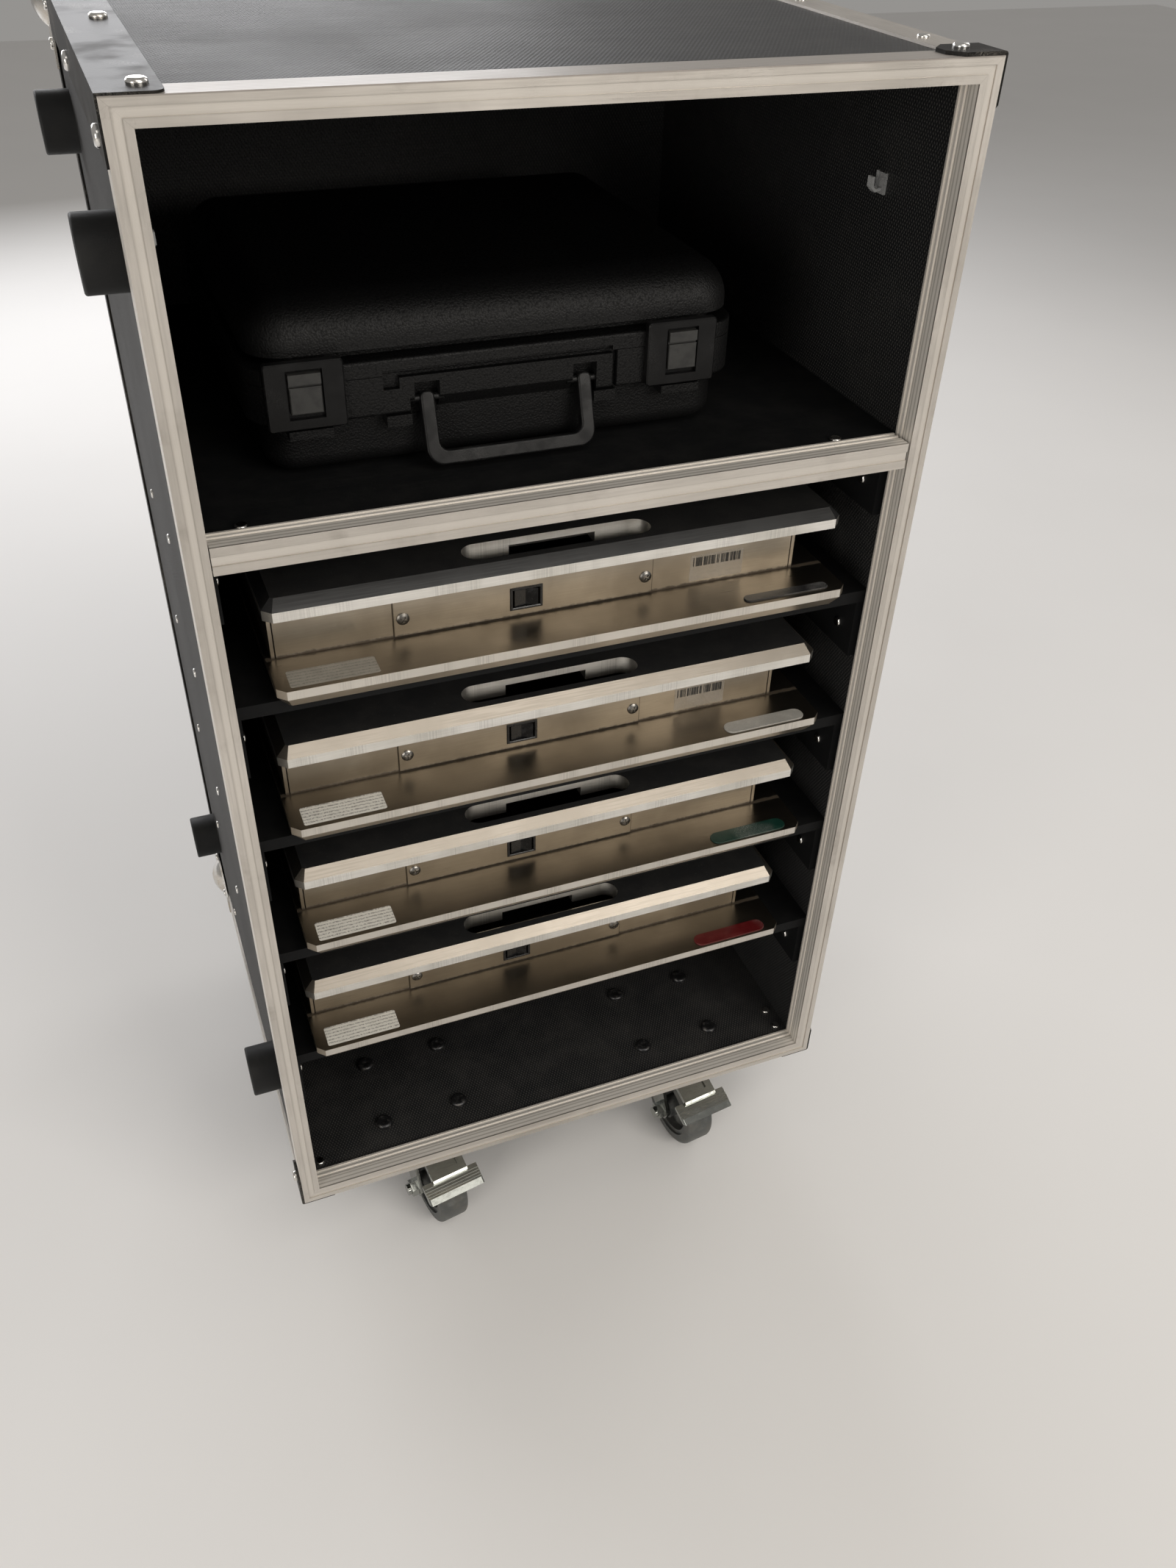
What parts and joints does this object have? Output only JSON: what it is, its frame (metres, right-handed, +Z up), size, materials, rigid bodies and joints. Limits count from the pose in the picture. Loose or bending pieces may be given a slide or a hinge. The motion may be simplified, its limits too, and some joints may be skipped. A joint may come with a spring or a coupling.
{
  "type": "equipment rack case",
  "caption": "Upright black road case on swivel casters with an open aluminium-framed front, shelves of square weighing pads and a bay above for a small carrying case.",
  "frame": {"origin": "on the floor, under the middle of the whole object's box", "axes": "+Z up, -Y out of the open front, +X to the right as the front is faced"},
  "size_m": [0.4864, 0.4326, 0.9135],
  "materials": {
    "laminate": "black laminate over plywood, fine texture",
    "shelf_board": "plywood painted matt black",
    "frame_aluminium": "mill finish extrusion",
    "edge_aluminium": "mill finish angle",
    "black_steel": "black powder coat",
    "ball_steel": "bright nickel plate",
    "fastener_steel": "bright zinc",
    "bolt_black": "black oxide",
    "bumper_rubber": "matt rubber",
    "hook_clear": "clear moulded",
    "caster_zinc": "zinc plate",
    "caster_hub": "grey moulded",
    "caster_tyre": "grey rubber",
    "pad_billet": "machined and brushed",
    "pad_deck": "black grip coat with bare machined rim",
    "rocker_black": "moulded",
    "bag_plastic": "pebbled moulded plastic",
    "bag_fittings": "smooth moulded plastic"
  },
  "bodies": {
    "case": {"left_panel": "laminate", "right_panel": "laminate", "top_panel": "laminate", "back_panel": "laminate", "floor_panel": "laminate", "divider_shelf": "shelf_board", "pad_shelves": "shelf_board", "shelf_cleats": "shelf_board", "frame_top": "frame_aluminium", "frame_bottom": "frame_aluminium", "frame_left": "frame_aluminium", "frame_right": "frame_aluminium", "divider_trim": "frame_aluminium", "edge_angles": "edge_aluminium", "rear_edging": "black_steel", "top_left_brace": "black_steel", "corner_braces": "black_steel", "ball_corners": "ball_steel", "bumpers": "bumper_rubber", "rivets": "fastener_steel", "screws": "fastener_steel", "caster_bolts": "bolt_black", "wall_hooks": "hook_clear", "caster_plates": "caster_zinc"},
    "pad_1": {"pad_1_base": "pad_billet", "pad_1_housing": "pad_billet", "pad_1_deck": "pad_deck"},
    "pad_1_switch": {"pad_1_rocker": "rocker_black"},
    "pad_2": {"pad_2_base": "pad_billet", "pad_2_housing": "pad_billet", "pad_2_deck": "pad_deck"},
    "pad_2_switch": {"pad_2_rocker": "rocker_black"},
    "pad_3": {"pad_3_base": "pad_billet", "pad_3_housing": "pad_billet", "pad_3_deck": "pad_deck"},
    "pad_3_switch": {"pad_3_rocker": "rocker_black"},
    "pad_4": {"pad_4_base": "pad_billet", "pad_4_housing": "pad_billet", "pad_4_deck": "pad_deck"},
    "pad_4_switch": {"pad_4_rocker": "rocker_black"},
    "briefcase": {"briefcase_shell": "bag_plastic", "latch_plates": "bag_fittings"},
    "briefcase_lid": {"briefcase_lid": "bag_plastic"},
    "briefcase_handle": {"briefcase_handle": "bag_fittings"},
    "left_latch": {"left_latch_button": "bag_fittings"},
    "right_latch": {"right_latch_button": "bag_fittings"},
    "caster_1": {"caster_1_fork": "caster_zinc"},
    "wheel_1": {"caster_1_hub": "caster_hub", "caster_1_tyre": "caster_tyre"},
    "brake_1": {"caster_1_pedal": "caster_zinc"},
    "caster_2": {"caster_2_fork": "caster_zinc"},
    "wheel_2": {"caster_2_hub": "caster_hub", "caster_2_tyre": "caster_tyre"},
    "brake_2": {"caster_2_pedal": "caster_zinc"},
    "caster_3": {"caster_3_fork": "caster_zinc"},
    "wheel_3": {"caster_3_hub": "caster_hub", "caster_3_tyre": "caster_tyre"},
    "caster_4": {"caster_4_fork": "caster_zinc"},
    "wheel_4": {"caster_4_hub": "caster_hub", "caster_4_tyre": "caster_tyre"}
  },
  "joints": [
    {"name": "pad_1_slide", "type": "slide", "parent": "case", "child": "pad_1", "axis": [0, -1, 0], "range_m": [0, 0.39]},
    {"name": "pad_1_switch_tilt", "type": "hinge", "parent": "pad_1", "child": "pad_1_switch", "pos_m": [-0.01925, -0.1576, 0.6029], "axis": [0, 0, 1], "range_deg": [0, 16]},
    {"name": "pad_2_slide", "type": "slide", "parent": "case", "child": "pad_2", "axis": [0, -1, 0], "range_m": [0, 0.39]},
    {"name": "pad_2_switch_tilt", "type": "hinge", "parent": "pad_2", "child": "pad_2_switch", "pos_m": [-0.02275, -0.1576, 0.4984], "axis": [0, 0, 1], "range_deg": [0, 16]},
    {"name": "pad_3_slide", "type": "slide", "parent": "case", "child": "pad_3", "axis": [0, -1, 0], "range_m": [0, 0.39]},
    {"name": "pad_3_switch_tilt", "type": "hinge", "parent": "pad_3", "child": "pad_3_switch", "pos_m": [-0.02375, -0.1576, 0.3954], "axis": [0, 0, 1], "range_deg": [0, 16]},
    {"name": "pad_4_slide", "type": "slide", "parent": "case", "child": "pad_4", "axis": [0, -1, 0], "range_m": [0, 0.39]},
    {"name": "pad_4_switch_tilt", "type": "hinge", "parent": "pad_4", "child": "pad_4_switch", "pos_m": [-0.02825, -0.1576, 0.2879], "axis": [0, 0, 1], "range_deg": [0, 16]},
    {"name": "briefcase_slide", "type": "slide", "parent": "case", "child": "briefcase", "axis": [0, -1, 0], "range_m": [0, 0.38]},
    {"name": "briefcase_lid_hinge", "type": "hinge", "parent": "briefcase", "child": "briefcase_lid", "pos_m": [0.00525, 0.11639, 0.7455], "axis": [-1, 0, 0], "range_deg": [0, 20]},
    {"name": "briefcase_handle_swing", "type": "hinge", "parent": "briefcase", "child": "briefcase_handle", "pos_m": [-0.02185, -0.1337, 0.7294], "axis": [-1, 0, 0], "range_deg": [0, 110]},
    {"name": "left_latch_slide", "type": "slide", "parent": "briefcase", "child": "left_latch", "axis": [0, 0, -1], "range_m": [0, 0.003], "stiffness_N_per_m": 150},
    {"name": "right_latch_slide", "type": "slide", "parent": "briefcase", "child": "right_latch", "axis": [0, 0, -1], "range_m": [0, 0.003], "stiffness_N_per_m": 150},
    {"name": "caster_1_swivel", "type": "hinge", "parent": "case", "child": "caster_1", "pos_m": [-0.11325, -0.1247, 0.0945], "axis": [0, 0, 1], "continuous": true},
    {"name": "wheel_1_roll", "type": "hinge", "parent": "caster_1", "child": "wheel_1", "pos_m": [-0.10644, -0.16767, 0.0375], "axis": [0.9877, 0.1564, 0], "continuous": true},
    {"name": "brake_1_press", "type": "hinge", "parent": "caster_1", "child": "brake_1", "pos_m": [-0.11043, -0.14248, 0.0855], "axis": [0.9877, 0.1564, 0], "range_deg": [0, 6]},
    {"name": "caster_2_swivel", "type": "hinge", "parent": "case", "child": "caster_2", "pos_m": [0.12375, -0.1247, 0.0945], "axis": [0, 0, 1], "continuous": true},
    {"name": "wheel_2_roll", "type": "hinge", "parent": "caster_2", "child": "wheel_2", "pos_m": [0.12905, -0.16788, 0.0375], "axis": [0.9925, 0.1219, 0], "continuous": true},
    {"name": "brake_2_press", "type": "hinge", "parent": "caster_2", "child": "brake_2", "pos_m": [0.12594, -0.14257, 0.0855], "axis": [0.9925, 0.1219, 0], "range_deg": [0, 6]},
    {"name": "caster_3_swivel", "type": "hinge", "parent": "case", "child": "caster_3", "pos_m": [-0.11325, 0.12829, 0.0945], "axis": [0, 0, 1], "continuous": true},
    {"name": "wheel_3_roll", "type": "hinge", "parent": "caster_3", "child": "wheel_3", "pos_m": [-0.1072, 0.17137, 0.0375], "axis": [-0.9903, 0.1392, 0], "continuous": true},
    {"name": "caster_4_swivel", "type": "hinge", "parent": "case", "child": "caster_4", "pos_m": [0.12375, 0.12829, 0.0945], "axis": [0, 0, 1], "continuous": true},
    {"name": "wheel_4_roll", "type": "hinge", "parent": "caster_4", "child": "wheel_4", "pos_m": [0.1192, 0.17156, 0.0375], "axis": [-0.9945, -0.1045, 0], "continuous": true}
  ]
}
